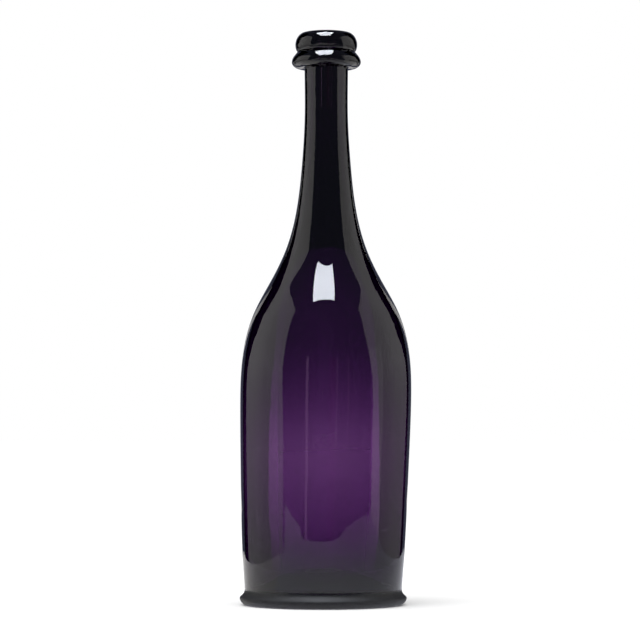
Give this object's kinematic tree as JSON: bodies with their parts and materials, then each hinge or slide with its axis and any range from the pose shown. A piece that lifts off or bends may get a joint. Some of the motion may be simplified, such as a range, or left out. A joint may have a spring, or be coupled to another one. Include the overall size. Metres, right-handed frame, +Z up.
{
  "type": "antique glass bottle",
  "caption": "Tall hand-blown bottle in dark amethyst glass, with a long neck, a string rim, a rounded lip and a pushed-up base.",
  "frame": {"origin": "centre of the base, on the surface that the bottle stands on", "axes": "+Z up along the bottle's axis, from the base to the mouth; the bottle is round, so X and Y are any two level directions"},
  "size_m": [0.0982, 0.0982, 0.33],
  "materials": {
    "amethyst_glass": "glossy",
    "amethyst_trail_glass": "glossy",
    "pontil_glass": "rough"
  },
  "bodies": {
    "root": {"vessel": "amethyst_glass", "string_rim": "amethyst_trail_glass", "lip_ring": "amethyst_trail_glass", "pontil_scar": "pontil_glass"}
  },
  "joints": []
}
